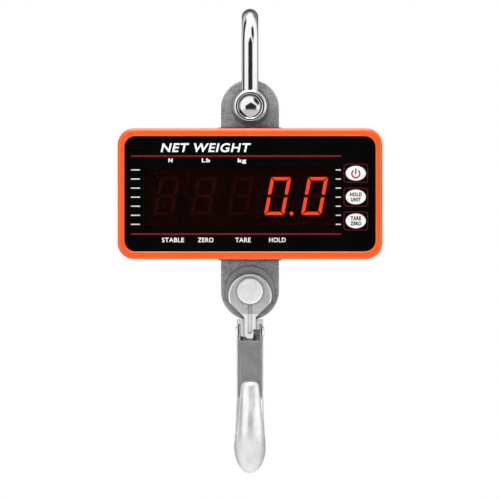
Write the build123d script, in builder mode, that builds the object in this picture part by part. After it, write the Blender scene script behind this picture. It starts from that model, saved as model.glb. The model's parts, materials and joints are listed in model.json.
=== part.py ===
"""Hanging crane scale: a load cell plate between a bow shackle and a latched hook, with a
display case clamped round the plate.

Frame: millimetres, +Z up, +X to the reader's right, -Y towards the reader. The origin is the
inside of the shackle's crown, the point that bears on a crane hook."""

import os
from math import cos, radians, sin

from build123d import *

# ---- load path -------------------------------------------------------------------------
ROD_D = 11.5  # shackle bow rod
SHACKLE_GAP = 23.0  # clear width between the shackle's eyes
EYE_D = 23.2
EYE_T = 12.4
UPPER_PIN_Z = -55.8
UPPER_PIN_D = 12.0
CAP_D = 16.2  # domed cap screwed on the shackle pin's front end
CAP_FIT = 0.1
CAP_SEAT = 3.4  # depth of the cap's seat in the front eye
CAP_SUNK = 0.3  # top of the cap's dome below the eye's face
CAP_ROUND = 15.0  # radius of the dome
CAP_BORE = 1.2
LOWER_PIN_Z = -183.2
LOWER_PIN_D = 14.0
RUNNING = 0.05  # radial clearance of a pin in its hole
PRESSED = 0.02  # radial clearance of a fixed screw or rivet

PLATE_W = 40.0
PLATE_T = 20.0
PLATE_TOP_Z = -57.3  # centre of the rounded upper end
PLATE_LOW_Z = -183.0  # centre of the rounded lower end
GAUGE_POCKET_D = 26.0
GAUGE_WEB_T = 6.0
COVER_T = 1.2

# ---- hook ------------------------------------------------------------------------------
FORK_GAP = 22.4  # clear width between the fork's ears
EAR_T = 7.3
EAR_R = 15.0
EAR_DROP = 3.2  # ear centre below the pin axis
NECK_W = 18.3
NECK_LOW_Z = -214.5
CROWN_Z = -204.2  # floor of the fork's slot
CROWN_R = 3.0
RIB_W = 7.8  # ridge that runs down from each ear
RIB_LOW_Z = -215.9
GROOVE_W = 3.0  # groove down the middle of each ridge
GROOVE_DEEP = 0.8
GROOVE_LOW_Z = -211.2
BOWL_Z = -265.7  # centre of the bowl
BOWL_R = 20.0  # inner radius of the bowl
HEAD_D = 17.6
HEAD_T = 4.0

LATCH_Y = -6.8  # latch pivot
LATCH_Z = -211.1
LATCH_TILT = 11.1  # the latch leans forward from straight down, degrees
LATCH_TOP = 7.3  # start of the latch's face below its pivot
LATCH_END = 47.0
LATCH_FACE = 3.8  # outer face in front of the pivot
LATCH_T = 1.4
LATCH_W = 16.4
LUG_W = 13.0  # hook's tongue between the latch's ears
RIVET_D = 4.5
SPRING_X = 2.8  # start of the spring's coils, beside the tongue

# ---- case ------------------------------------------------------------------------------
CASE_W = 182.0
CASE_H = 90.0
CASE_Z = -116.3
CASE_FRONT_Y = -34.0
CASE_REAR_Y = 34.0
CORNER_R = 11.3
WALL = 2.6
REAR_WALL = 4.0
SEAL_T = 1.0  # rubber seal between the two shells
FRONT_FILLET = 2.6
REAR_FILLET = 4.5
SLOT_W = 42.4  # opening for the plate, top and bottom
SLOT_D = 22.4
SLOT_LIP = 0.8

PANEL_W = 172.5
PANEL_H = 79.2
PANEL_R = 7.6
BEZEL_CHAMFER = 0.45
PANEL_RECESS = 0.7  # panel face behind the bezel
PANEL_T = 1.5
PANEL_Y = CASE_FRONT_Y + PANEL_RECESS
PANEL_BACK_Y = PANEL_Y + PANEL_T
CAVITY_Y = PANEL_BACK_Y + 2.0
LENS_W = 130.4
LENS_H = 44.5
LENS_X = -7.9
LENS_DZ = -2.6  # from the middle of the case
LENS_LEDGE = 0.7
LENS_T = 1.2  # flush within 0.1 of the printed panel
FILM_GAP = 0.2  # room for the smoked film behind the lens

DIGIT_PITCH = 25.4
DIGIT_X = [44.4 - DIGIT_PITCH * place for place in (4, 3, 2, 1, 0)]
DIGIT_DZ = -1.5
DIGIT_W = 23.6
DIGIT_H = 33.6
DIGIT_Y = PANEL_BACK_Y + 0.4
UNIT_LEDS = [(-54.6, 17.4), (-30.5, 17.4), (-5.5, 17.4)]
STATUS_LEDS = [(-52.9, -22.1), (-30.5, -22.1), (-4.8, -22.1), (18.8, -22.1)]
LED_D = 2.0

KEY_X = 72.7
KEYS = {"power": 14.1, "hold": -2.2, "tare": -18.6}
KEY_W = 13.7
KEY_H = 10.0
KEY_FIT = 0.3
KEY_PROUD = 0.6
FLANGE_W = 16.0
FLANGE_H = 12.6
FLANGE_T = 1.0
PLUNGER_D = 3.4
SWITCH_SIDE = 6.0
SWITCH_T = 3.5

BOARD_T = 1.6
BOARD_Y = -21.2  # front of the display board
BOARD_W = 158.0
BOARD_H = 62.0
MAIN_X = -62.0
MAIN_Y = 13.0  # front of the main board
MAIN_W = 44.0
MAIN_H = 62.0

CELL_D = 18.4
CELL_L = 65.0
CELL_Y = 20.5
CELL_DZ = (10.2, -10.2)
TRAY_W = 72.6
TRAY_H = 44.0
TRAY_WALL = 1.2
DOOR_W = 88.0
DOOR_H = 50.0
DOOR_T = 2.0

JACK_X = 64.0
JACK_DZ = -10.0
JACK_BORE_D = 6.2
CAP_HINGE_DZ = 1.0  # hinge line of the rubber cap
CAP_HINGE_Y = CASE_REAR_Y + 1.5

CASE_SCREWS = [(x, dz) for x in (-82.5, 82.5) for dz in (-37.5, 37.5)]
BOARD_SCREWS = [(x, dz) for x in (-58.0, 58.0) for dz in (-27.5, 27.5)]
MAIN_SCREWS = [(MAIN_X + x, dz) for x in (-18.0, 18.0) for dz in (-27.0, 27.0)]
CELL_SCREWS = [(x, dz) for x in (-12.0, 12.0) for dz in (-34.0, 34.0)]
DOOR_SCREWS = [(-40.4, 0.0), (40.4, 0.0)]


def facing(y, x=0.0, z=0.0):
    """Sketch plane at depth y whose sketch reads in X and Z. Extruding it goes forwards."""
    return Plane(origin=(x, y, z), x_dir=(1, 0, 0), z_dir=(0, -1, 0))


def case_plane(y):
    """Sketch plane at depth y, centred on the case."""
    return facing(y, 0, CASE_Z)


def sideways(x=0.0):
    """Sketch plane at x whose sketch reads in Y and Z."""
    return Plane(origin=(x, 0, 0), x_dir=(0, 1, 0), z_dir=(1, 0, 0))


def save(name, *parts):
    """Write one node. Several parts become separate solids of the same node."""
    shapes = [p.part if isinstance(p, BuildPart) else p for p in parts]
    node = shapes[0] if len(shapes) == 1 else Compound(children=shapes)
    node.label = name
    export_step(node, f"parts/{name}.step")


# ---- shackle ---------------------------------------------------------------------------
def shackle_bow():
    leg_y = SHACKLE_GAP / 2 + EYE_T / 2
    arch_z = ROD_D / 2 - leg_y
    eye_y = SHACKLE_GAP / 2 + EYE_T
    with BuildPart() as bow:
        for near, far in ((-SHACKLE_GAP / 2, -eye_y), (eye_y, SHACKLE_GAP / 2)):
            with BuildSketch(facing(near, 0, UPPER_PIN_Z)):
                Circle(EYE_D / 2)
            extrude(amount=near - far)
        fillet(bow.edges().group_by(Axis.Y)[0], 2.2)
        fillet(bow.edges().group_by(Axis.Y)[-1], 2.2)
        with BuildLine(Plane.YZ) as route:
            Line((-leg_y, UPPER_PIN_Z + 4), (-leg_y, arch_z))
            ThreePointArc((-leg_y, arch_z), (0, arch_z + leg_y), (leg_y, arch_z))
            Line((leg_y, arch_z), (leg_y, UPPER_PIN_Z + 4))
        with BuildSketch(Plane(origin=(0, -leg_y, UPPER_PIN_Z + 4), z_dir=(0, 0, 1))):
            Circle(ROD_D / 2)
        sweep(path=route.line)
        with Locations(Location((0, 0, UPPER_PIN_Z), (90, 0, 0))):
            Hole(UPPER_PIN_D / 2 + RUNNING, depth=2 * eye_y)
        with BuildSketch(facing(CAP_SEAT - eye_y, 0, UPPER_PIN_Z)):
            Circle(CAP_D / 2 + CAP_FIT)
        extrude(amount=CAP_SEAT + 3, mode=Mode.SUBTRACT)
        seat_rim = bow.edges().filter_by(GeomType.CIRCLE).group_by(Axis.Y)[0]
        fillet(seat_rim.sort_by(SortBy.RADIUS)[0], 0.8)
    save("shackle_bow", bow)


def shackle_pin():
    """Screw pin with a collar and a drilled lug behind, and a domed cap in the front eye."""
    rear_y = SHACKLE_GAP / 2 + EYE_T
    collar_t = 2.4
    lug_l = 7.4
    with BuildPart() as pin:
        with BuildSketch(facing(rear_y, 0, UPPER_PIN_Z)):
            Circle(UPPER_PIN_D / 2)
        extrude(amount=2 * rear_y - CAP_SEAT + CAP_BORE - 0.2)
        chamfer(pin.edges().sort_by(Axis.Y)[0], 0.5)
        with BuildSketch(facing(rear_y + collar_t, 0, UPPER_PIN_Z)):
            Circle(9.5)
        extrude(amount=collar_t)
        chamfer(pin.edges().group_by(Axis.Y)[-1], 0.6)
        with BuildSketch(sideways()) as lug:
            with Locations((rear_y + collar_t + lug_l / 2 - 0.5, UPPER_PIN_Z)):
                Rectangle(lug_l + 1.0, 13.0)
            fillet(lug.vertices().group_by(Axis.X)[-1], 3.5)
            with Locations((rear_y + collar_t + lug_l / 2, UPPER_PIN_Z)):
                Circle(1.9, mode=Mode.SUBTRACT)
        extrude(amount=2.5, both=True)
    save("shackle_pin", pin)

    with BuildPart() as cap:
        with BuildSketch(facing(CAP_SEAT - rear_y, 0, UPPER_PIN_Z)):
            Circle(CAP_D / 2)
        extrude(amount=CAP_SEAT)
        with Locations((0, CAP_SUNK - rear_y + CAP_ROUND, UPPER_PIN_Z)):
            Sphere(CAP_ROUND, mode=Mode.INTERSECT)
        with BuildSketch(facing(CAP_SEAT - rear_y, 0, UPPER_PIN_Z)):
            Circle(UPPER_PIN_D / 2 + PRESSED)
        extrude(amount=CAP_BORE, mode=Mode.SUBTRACT)
    save("shackle_cap", cap)


def pin_washers(name, z, bore_d, outer_d, gap):
    """Nylon washers that fill the gap between the plate and the ears, front and rear."""
    thick = (gap - PLATE_T) / 2 - 0.2
    for side, face_y in (("front", -PLATE_T / 2), ("rear", PLATE_T / 2 + thick)):
        with BuildPart() as washer:
            with BuildSketch(facing(face_y, 0, z)):
                Circle(outer_d / 2)
                Circle(bore_d / 2 + 0.3, mode=Mode.SUBTRACT)
            extrude(amount=thick)
        save(f"{name}_washer_{side}", washer)


# ---- load cell -------------------------------------------------------------------------
def load_cell():
    with BuildPart() as plate:
        with BuildSketch(facing(PLATE_T / 2)):
            for z in (PLATE_TOP_Z, PLATE_LOW_Z):
                with Locations((0, z)):
                    Circle(PLATE_W / 2)
            with Locations((0, (PLATE_TOP_Z + PLATE_LOW_Z) / 2)):
                Rectangle(PLATE_W, PLATE_TOP_Z - PLATE_LOW_Z)
        extrude(amount=PLATE_T)
        rims = plate.faces().filter_by(Axis.Y).edges()
        fillet(rims, 1.2)
        with Locations(Location((0, 0, UPPER_PIN_Z), (90, 0, 0))):
            Hole(UPPER_PIN_D / 2 + RUNNING, depth=PLATE_T)
        with Locations(Location((0, 0, LOWER_PIN_Z), (90, 0, 0))):
            Hole(LOWER_PIN_D / 2 + RUNNING, depth=PLATE_T)
        for face_y, deep in ((-PLATE_T / 2, -1), (PLATE_T / 2, 1)):
            with BuildSketch(facing(face_y, 0, CASE_Z)):
                Circle(GAUGE_POCKET_D / 2)
            extrude(amount=deep * (PLATE_T - GAUGE_WEB_T) / 2, mode=Mode.SUBTRACT)
            with BuildSketch(facing(face_y, 0, CASE_Z)):
                Circle(GAUGE_POCKET_D / 2 + 2.0)
            extrude(amount=deep * COVER_T, mode=Mode.SUBTRACT)
        with BuildSketch(sideways(-PLATE_W / 2)):
            with Locations((-6.0, CASE_Z)):
                Circle(1.8)
        extrude(amount=12.0, mode=Mode.SUBTRACT)
        for x, dz in CELL_SCREWS:
            with BuildSketch(facing(PLATE_T / 2, x, CASE_Z + dz)):
                Circle(2.0 + PRESSED)
            extrude(amount=9.0, mode=Mode.SUBTRACT)
    save("load_cell", plate)


def gauge_parts():
    """Sealing covers over the two pockets, and four foil gauges bonded to the web."""
    for side, back_y in (("front", -PLATE_T / 2 + COVER_T), ("rear", PLATE_T / 2)):
        with BuildPart() as cover:
            with BuildSketch(facing(back_y, 0, CASE_Z)):
                Circle(GAUGE_POCKET_D / 2 + 1.9)
            extrude(amount=COVER_T)
        save(f"gauge_cover_{side}", cover)
    gauge_t = 0.4
    gauges = []
    for y in (-GAUGE_WEB_T / 2, GAUGE_WEB_T / 2 + gauge_t):
        for x in (-5.0, 5.0):
            with BuildPart() as gauge:
                with BuildSketch(facing(y, x, CASE_Z)):
                    Rectangle(6.0, 10.0)
                extrude(amount=gauge_t)
            gauges.append(gauge)
    save("strain_gauges", *gauges)


def cell_cable():
    """Lead from the plate's side hole to the connector on the main board."""
    start = (-13.5, -6.0, CASE_Z)
    bend = (-33.0, -6.0, CASE_Z)
    rise = (-46.0, 0.0, CASE_Z + 12.0)
    end = (-46.0, 8.0, CASE_Z + 12.0)
    with BuildPart() as cable:
        with BuildLine() as route:
            FilletPolyline(start, bend, rise, end, radius=4.5)
        with BuildSketch(Plane(origin=start, z_dir=route.line % 0)):
            Circle(1.6)
        sweep()
    save("cell_cable", cable)


# ---- hook ------------------------------------------------------------------------------
def egg(plane, thick, width, inner_share):
    """Forging section: two half ellipses that meet at the widest line. Local +y is inwards."""
    inner = thick * inner_share
    outer = thick - inner
    ridge = thick / 2 - inner
    with BuildSketch(plane) as section:
        with BuildLine():
            EllipticalCenterArc((0, ridge), width / 2, inner, start_angle=0, arc_size=180)
            EllipticalCenterArc((0, ridge), width / 2, outer, start_angle=180, arc_size=180)
        make_face()
    return section.sketch


def hook_sections():
    """Sections of the shank, the bowl and the tip, each square to the hook's centre line."""

    def station(y, z, lean, thick, width, share):
        # lean turns the travel direction from straight down towards +Y, in degrees
        down = Vector(0, sin(radians(lean)), -cos(radians(lean)))
        plane = Plane(origin=(0, y, z), x_dir=(1, 0, 0), z_dir=down)
        return egg(plane, thick, width, share)

    shank = [
        station(0.4, -207.0, 0, 20.0, NECK_W, 0.5),
        station(2.2, -215.5, 20, 18.4, NECK_W, 0.5),
        station(7.6, -225.0, 34, 17.2, NECK_W, 0.48),
        station(15.4, -235.6, 35, 17.0, NECK_W, 0.44),
        station(23.0, -247.5, 28, 17.8, NECK_W, 0.4),
        station(28.0, -257.5, 17, 19.2, 18.4, 0.34),
    ]
    bowl = []
    for turn, thick, width, share in (
        (0, 20.4, 19.0, 0.30),
        (30, 21.6, 20.0, 0.26),
        (60, 22.6, 21.2, 0.22),
        (90, 23.0, 21.8, 0.205),
        (120, 21.4, 21.4, 0.22),
        (150, 17.6, 19.6, 0.28),
        (180, 13.8, 16.2, 0.36),
    ):
        reach = BOWL_R + thick / 2
        y = reach * cos(radians(turn))
        z = BOWL_Z - reach * sin(radians(turn))
        bowl.append(station(y, z, -turn, thick, width, share))
    tip = [
        station(-26.8, -258.0, -179, 12.0, 14.6, 0.42),
        station(-26.6, -251.0, -178, 10.8, 13.0, 0.46),
        station(-26.5, -245.4, -178, 10.0, 12.0, 0.5),
    ]
    return shank + bowl + tip


def ridge_groove(half):
    """Shallow round-ended groove that follows the front ridge from the pin head down."""
    head_low = LOWER_PIN_Z - HEAD_D / 2 - 0.9
    low_front = -12.66  # groove floor at its lower end
    with BuildPart() as groove:
        with BuildSketch(facing(0, 0, head_low)):
            with Locations((0, (GROOVE_LOW_Z - head_low) / 2)):
                Rectangle(GROOVE_W, head_low - GROOVE_LOW_Z)
            with Locations((0, GROOVE_LOW_Z - head_low)):
                Circle(GROOVE_W / 2)
        extrude(amount=half + 2)
        with BuildSketch(sideways()):
            with BuildLine():
                Polyline(
                    (-half - 2, head_low),
                    (-half + GROOVE_DEEP, head_low),
                    (-half + GROOVE_DEEP, -199.2),
                    (low_front, GROOVE_LOW_Z),
                    (low_front + 0.6, GROOVE_LOW_Z - GROOVE_W / 2),
                    (-half - 2, GROOVE_LOW_Z - GROOVE_W / 2),
                    close=True,
                )
            make_face()
        extrude(amount=GROOVE_W, both=True, mode=Mode.INTERSECT)
    return groove.part


def fork():
    """Round ears that taper to a ridge, cut from a U in side view, on a short square neck."""
    ear_z = LOWER_PIN_Z - EAR_DROP
    half = FORK_GAP / 2 + EAR_T
    rib = RIB_W / 2
    with BuildPart() as body:
        # round ears cut to a taper, then a straight ridge with a rounded end
        rib_end = RIB_LOW_Z - ear_z
        with BuildSketch(facing(half, 0, ear_z)) as outline:
            with BuildLine():
                Polyline(
                    (-16.0, 16.0),
                    (16.0, 16.0),
                    (16.0, -2.8),
                    (rib, -14.9),
                    (rib, rib_end),
                    (-rib, rib_end),
                    (-rib, -14.9),
                    (-16.0, -2.8),
                    close=True,
                )
            make_face()
            fillet(outline.vertices().group_by(Axis.Y)[0], rib - 0.1)
            with BuildSketch(mode=Mode.PRIVATE) as bounds:
                Circle(EAR_R)
                with Locations((0, rib_end)):
                    Rectangle(12.0, 2 * (-14.0 - rib_end))
            add(bounds.sketch, mode=Mode.INTERSECT)
        extrude(amount=2 * half)
        with BuildSketch(sideways()):
            with BuildLine():
                Polyline(
                    (-half, ear_z + EAR_R + 1),
                    (-half, -199.0),
                    (-11.6, RIB_LOW_Z),
                    (10.6, RIB_LOW_Z - 1),
                    (half, -199.0),
                    (half, ear_z + EAR_R + 1),
                    close=True,
                )
            make_face()
        extrude(amount=EAR_R + 1, both=True, mode=Mode.INTERSECT)
        with BuildSketch(sideways()):
            with BuildLine():
                Polyline(
                    (-12.8, -202.6),
                    (-10.4, NECK_LOW_Z),
                    (10.4, NECK_LOW_Z),
                    (12.8, -202.6),
                    close=True,
                )
            make_face()
        extrude(amount=NECK_W / 2, both=True)
        with BuildSketch(sideways()):
            with Locations((0, CROWN_Z + 20)):
                RectangleRounded(FORK_GAP, 40, CROWN_R)
        extrude(amount=EAR_R + 2, both=True, mode=Mode.SUBTRACT)
        rims = body.edges().filter_by(GeomType.CIRCLE)
        fillet(rims.group_by(Axis.Y)[0].sort_by(Axis.Z)[-1], 1.2)
        rims = body.edges().filter_by(GeomType.CIRCLE)
        fillet(rims.group_by(Axis.Y)[-1].sort_by(Axis.Z)[-1], 1.2)
        add(ridge_groove(half), mode=Mode.SUBTRACT)
        add(mirror(ridge_groove(half), about=Plane.XZ), mode=Mode.SUBTRACT)
    return body.part


def hook():
    half = FORK_GAP / 2 + EAR_T
    with BuildPart() as bowl:
        loft(hook_sections())
        tip_end = bowl.faces().filter_by(GeomType.PLANE).sort_by(Axis.Y)[0]
        fillet(tip_end.edges(), 3.6)
    with BuildPart() as finished:
        add(fork())
        add(bowl.part)
        with Locations(Location((0, 0, LOWER_PIN_Z), (90, 0, 0))):
            Hole(LOWER_PIN_D / 2 + RUNNING, depth=2 * half)
        # side pockets that the latch's ears turn in
        for x in (-NECK_W, LUG_W / 2):
            with BuildSketch(sideways(x)):
                with Locations((LATCH_Y, LATCH_Z)):
                    Circle(7.6)
                with Locations((LATCH_Y - 10, LATCH_Z - 2)):
                    Rectangle(20, 11)
                with Locations((LATCH_Y - 4, LATCH_Z - 8)):
                    Rectangle(8, 16)
                # clearance for the latch's flanges when it is pushed fully in
                with BuildLine():
                    Polyline(
                        (LATCH_Y - 9, LATCH_Z),
                        (LATCH_Y + 5.4, LATCH_Z),
                        (LATCH_Y + 10.9, LATCH_Z - 22.6),
                        (LATCH_Y - 9, LATCH_Z - 22.6),
                        close=True,
                    )
                make_face()
            extrude(amount=NECK_W - LUG_W / 2, mode=Mode.SUBTRACT)
        # room under the tongue for the top edge of the latch's face
        with BuildSketch(sideways(-NECK_W / 2)):
            with BuildLine():
                Polyline(
                    (LATCH_Y - 12, LATCH_Z - 4.2),
                    (LATCH_Y, LATCH_Z - 7.2),
                    (LATCH_Y + 2.6, LATCH_Z - 7.2),
                    (LATCH_Y + 8.4, LATCH_Z - 20),
                    (LATCH_Y - 12, LATCH_Z - 20),
                    close=True,
                )
            make_face()
        extrude(amount=NECK_W, mode=Mode.SUBTRACT)
        with BuildSketch(sideways(-LUG_W / 2 - 1)):
            with Locations((LATCH_Y, LATCH_Z)):
                Circle(RIVET_D / 2 + PRESSED)
        extrude(amount=LUG_W + 2, mode=Mode.SUBTRACT)
        with BuildSketch(sideways(SPRING_X - 0.5)):
            with Locations((LATCH_Y, LATCH_Z)):
                Circle(4.6)
            with Locations((LATCH_Y - 6, LATCH_Z - 3)):
                Rectangle(12, 9)
            with Locations((LATCH_Y + 1, LATCH_Z - 4)):
                Rectangle(6, 8)
        extrude(amount=NECK_W, mode=Mode.SUBTRACT)
    save("hook", finished)


def hook_pin():
    """Headed pin, head to the front, cross-drilled at the rear for its split pin."""
    half = FORK_GAP / 2 + EAR_T
    rear_y = half + 6.5
    cross_y = half + 3.4
    with BuildPart() as pin:
        with BuildSketch(facing(rear_y, 0, LOWER_PIN_Z)):
            Circle(LOWER_PIN_D / 2)
        extrude(amount=rear_y + half)
        chamfer(pin.edges().group_by(Axis.Y)[-1], 1.0)
        with BuildSketch(facing(-half, 0, LOWER_PIN_Z)):
            Circle(HEAD_D / 2)
        extrude(amount=HEAD_T)
        chamfer(pin.edges().group_by(Axis.Y)[0], 0.8)
        with BuildSketch(Plane(origin=(0, cross_y, LOWER_PIN_Z - 10))):
            Circle(1.3)
        extrude(amount=20, mode=Mode.SUBTRACT)
    save("hook_pin", pin)

    with BuildPart() as split:
        with BuildSketch(Plane(origin=(0, cross_y, LOWER_PIN_Z - 10.5))):
            Circle(1.25)
        extrude(amount=18.5)
        with BuildSketch(facing(cross_y + 1.25, 0, LOWER_PIN_Z + 10.6)):
            Circle(3.2)
            Circle(1.5, mode=Mode.SUBTRACT)
        extrude(amount=2.5)
    save("hook_pin_cotter", split)


def latch():
    """Pressed steel channel: a flat face with two side flanges that end in pivot ears."""
    lean = Plane(
        origin=(0, LATCH_Y, LATCH_Z),
        x_dir=(0, -cos(radians(LATCH_TILT)), sin(radians(LATCH_TILT))),
        z_dir=(-1, 0, 0),
    )
    across = Plane(origin=(0, LATCH_Y, LATCH_Z), x_dir=(1, 0, 0), z_dir=lean.y_dir)
    inner_w = LATCH_W - 2 * LATCH_T
    with BuildPart() as body:
        # side view: sketch x is forwards from the pivot, sketch y is upwards along the latch
        with BuildSketch(lean):
            with BuildLine():
                Polyline(
                    (LATCH_FACE, -LATCH_END),
                    (LATCH_FACE, -LATCH_TOP + 3),
                    (-5.0, 0),
                    (-0.8, -24),
                    (0.2, -LATCH_END),
                    close=True,
                )
            make_face()
            Circle(5.0)
            with Locations((LATCH_FACE + 6.0, 0)):
                Rectangle(12.0, 12.0, mode=Mode.SUBTRACT)
        extrude(amount=LATCH_W / 2, both=True)
        # cross-section: bent corners outside, open towards the bowl
        with BuildSketch(across) as bent:
            with Locations((0, 0)):
                Rectangle(LATCH_W, 2 * LATCH_FACE)
            fillet(bent.vertices().group_by(Axis.Y)[0], 2.0)
            with Locations((0, 15)):
                Rectangle(LATCH_W, 30)
        extrude(amount=60, both=True, mode=Mode.INTERSECT)
        with BuildSketch(lean):
            with Locations((LATCH_FACE - LATCH_T - 20, -20)):
                Rectangle(40, 80)
            with Locations((0, -LATCH_TOP + 20)):
                Rectangle(60, 40)
        extrude(amount=inner_w / 2, both=True, mode=Mode.SUBTRACT)
        with BuildSketch(lean):
            Circle(RIVET_D / 2 + RUNNING)
        extrude(amount=LATCH_W, both=True, mode=Mode.SUBTRACT)
    save("latch", body)

    head_x = LATCH_W / 2 + 0.15
    with BuildPart() as rivet:
        with BuildSketch(sideways(-head_x)):
            with Locations((LATCH_Y, LATCH_Z)):
                Circle(RIVET_D / 2)
        extrude(amount=2 * head_x)
        for side in (-1, 1):
            with BuildSketch(sideways(side * head_x)):
                with Locations((LATCH_Y, LATCH_Z)):
                    Circle(3.6)
            extrude(amount=side * 1.6)
        fillet(rivet.edges().group_by(Axis.X)[0], 1.2)
        fillet(rivet.edges().group_by(Axis.X)[-1], 1.2)
    save("latch_pin", rivet)


def latch_spring():
    """Torsion spring round the rivet, beside the tongue: legs on the latch and on the hook."""
    wire = 0.45
    pitch = 2.1 * wire
    with BuildPart() as spring:
        with BuildLine() as path:
            coils = Helix(pitch, 2.5 * pitch, RIVET_D / 2 + 0.3 + wire, direction=(1, 0, 0))
            Line(coils @ 0, coils @ 0 - (coils % 0) * 6)
            Line(coils @ 1, coils @ 1 + (coils % 1) * 11)
        with BuildSketch(Plane(origin=path.line @ 0, z_dir=path.line % 0)):
            Circle(wire)
        sweep(path=path.line)
    save("latch_spring", Pos(SPRING_X + wire, LATCH_Y, LATCH_Z) * Rot(-90, 0, 0) * spring.part)


# ---- case ------------------------------------------------------------------------------
def block(x, y, z, size_x, size_y, size_z):
    """Plain box centred at (x, y, z) measured from the middle of the case."""
    with BuildPart() as box:
        with Locations((x, y, CASE_Z + z)):
            Box(size_x, size_y, size_z)
    return box.part


def post(x, dz, near_y, far_y, radius, hole_r=0.0):
    """Round post along Y from near_y (front) to far_y (rear), with an optional bore."""
    with BuildPart() as body:
        with BuildSketch(facing(far_y, x, CASE_Z + dz)):
            Circle(radius)
            if hole_r:
                Circle(hole_r, mode=Mode.SUBTRACT)
        extrude(amount=far_y - near_y)
    return body.part


def slot_cutter():
    """The opening that the plate passes through, top to bottom."""
    with BuildPart() as cutter:
        with BuildSketch(Plane.XY.offset(CASE_Z - CASE_H)):
            RectangleRounded(SLOT_W, SLOT_D, 3.0)
        extrude(amount=2 * CASE_H)
    return cutter.part


def front_shell():
    rear_y = -SEAL_T / 2
    with BuildPart() as shell:
        with BuildSketch(case_plane(rear_y)):
            RectangleRounded(CASE_W, CASE_H, CORNER_R)
        extrude(amount=rear_y - CASE_FRONT_Y)
        fillet(shell.edges().group_by(Axis.Y)[0], FRONT_FILLET)
        with BuildSketch(case_plane(rear_y)):
            RectangleRounded(CASE_W - 2 * WALL, CASE_H - 2 * WALL, CORNER_R - WALL)
        extrude(amount=rear_y - CAVITY_Y, mode=Mode.SUBTRACT)
        with BuildSketch(case_plane(PANEL_BACK_Y)):
            RectangleRounded(PANEL_W + 0.2, PANEL_H + 0.2, PANEL_R)
        extrude(amount=5.0, mode=Mode.SUBTRACT)
        near_edges = shell.edges().group_by(Axis.Y)[0]
        mouth = near_edges.filter_by(
            lambda edge: abs(edge.center().X) < PANEL_W / 2 + 0.2
            and abs(edge.center().Z - CASE_Z) < PANEL_H / 2 + 0.2
        )
        chamfer(mouth, BEZEL_CHAMFER)
        with BuildSketch(case_plane(CAVITY_Y + 1)):
            with Locations((LENS_X, LENS_DZ)):
                Rectangle(LENS_W - 2 * LENS_LEDGE, LENS_H - 2 * LENS_LEDGE)
            for key_dz in KEYS.values():
                with Locations((KEY_X, key_dz)):
                    Ellipse(KEY_W / 2 + KEY_FIT, KEY_H / 2 + KEY_FIT)
        extrude(amount=5.0, mode=Mode.SUBTRACT)
        for x, dz in CASE_SCREWS:
            add(post(x, dz, CAVITY_Y - 0.5, rear_y, 4.2))
            add(post(x, dz, -14.0, rear_y + 1, 1.5 + PRESSED), mode=Mode.SUBTRACT)
        for x, dz in BOARD_SCREWS:
            add(post(x, dz, CAVITY_Y - 0.5, BOARD_Y, 3.0))
            add(post(x, dz, BOARD_Y - 5.5, BOARD_Y + 1, 1.25 + PRESSED), mode=Mode.SUBTRACT)
        add(slot_cutter(), mode=Mode.SUBTRACT)
    save("front_shell", shell)


def rear_shell():
    front_y = SEAL_T / 2
    inner_y = CASE_REAR_Y - REAR_WALL
    with BuildPart() as shell:
        with BuildSketch(case_plane(CASE_REAR_Y)):
            RectangleRounded(CASE_W, CASE_H, CORNER_R)
        extrude(amount=CASE_REAR_Y - front_y)
        fillet(shell.edges().group_by(Axis.Y)[-1], REAR_FILLET)
        with BuildSketch(case_plane(inner_y)):
            RectangleRounded(CASE_W - 2 * WALL, CASE_H - 2 * WALL, CORNER_R - WALL)
        extrude(amount=inner_y - front_y, mode=Mode.SUBTRACT)
        # battery door: a pocket for the door and a smaller opening behind its rim
        with BuildSketch(case_plane(CASE_REAR_Y + 1)):
            RectangleRounded(DOOR_W + 0.4, DOOR_H + 0.4, 4.2)
        extrude(amount=1 + DOOR_T, mode=Mode.SUBTRACT)
        with BuildSketch(case_plane(CASE_REAR_Y)):
            RectangleRounded(TRAY_W - 1.0, TRAY_H - 1.0, 2.0)
        extrude(amount=REAR_WALL + 1, mode=Mode.SUBTRACT)
        for x, dz in DOOR_SCREWS:
            add(post(x, dz, inner_y - 5.0, inner_y + 1, 3.2))
            add(post(x, dz, inner_y - 4.0, CASE_REAR_Y, 1.25 + PRESSED), mode=Mode.SUBTRACT)
        for x, dz in CASE_SCREWS:
            add(post(x, dz, front_y, CASE_REAR_Y - 1.2, 4.2))
            add(post(x, dz, front_y - 1, CASE_REAR_Y, 1.7), mode=Mode.SUBTRACT)
            add(post(x, dz, 22.0, CASE_REAR_Y + 1, 3.1), mode=Mode.SUBTRACT)
        for x, dz in CELL_SCREWS:
            add(post(x, dz, PLATE_T / 2, inner_y + 1, 5.2))
            add(post(x, dz, 0, CASE_REAR_Y, 2.2), mode=Mode.SUBTRACT)
            add(post(x, dz, 14.0, CASE_REAR_Y + 1, 4.0), mode=Mode.SUBTRACT)
        for x, dz in MAIN_SCREWS:
            add(post(x, dz, MAIN_Y + BOARD_T, inner_y + 1, 3.0))
            add(post(x, dz, MAIN_Y, MAIN_Y + 8, 1.25 + PRESSED), mode=Mode.SUBTRACT)
        # charging jack: a bored boss inside, two hinge lugs outside
        add(post(JACK_X, JACK_DZ, inner_y - 8.0, inner_y + 1, 6.0))
        add(post(JACK_X, JACK_DZ, inner_y - 9.0, CASE_REAR_Y + 1, 4.0), mode=Mode.SUBTRACT)
        for side in (-1, 1):
            lug_x = JACK_X + side * 7.4
            add(block(lug_x, CASE_REAR_Y + 1.2, CAP_HINGE_DZ, 2.0, 3.6, 3.4))
        with BuildSketch(sideways(JACK_X - 10)):
            with Locations((CAP_HINGE_Y, CASE_Z + CAP_HINGE_DZ)):
                Circle(0.6 + PRESSED)
        extrude(amount=20, mode=Mode.SUBTRACT)
        add(slot_cutter(), mode=Mode.SUBTRACT)
    save("rear_shell", shell)


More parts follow.
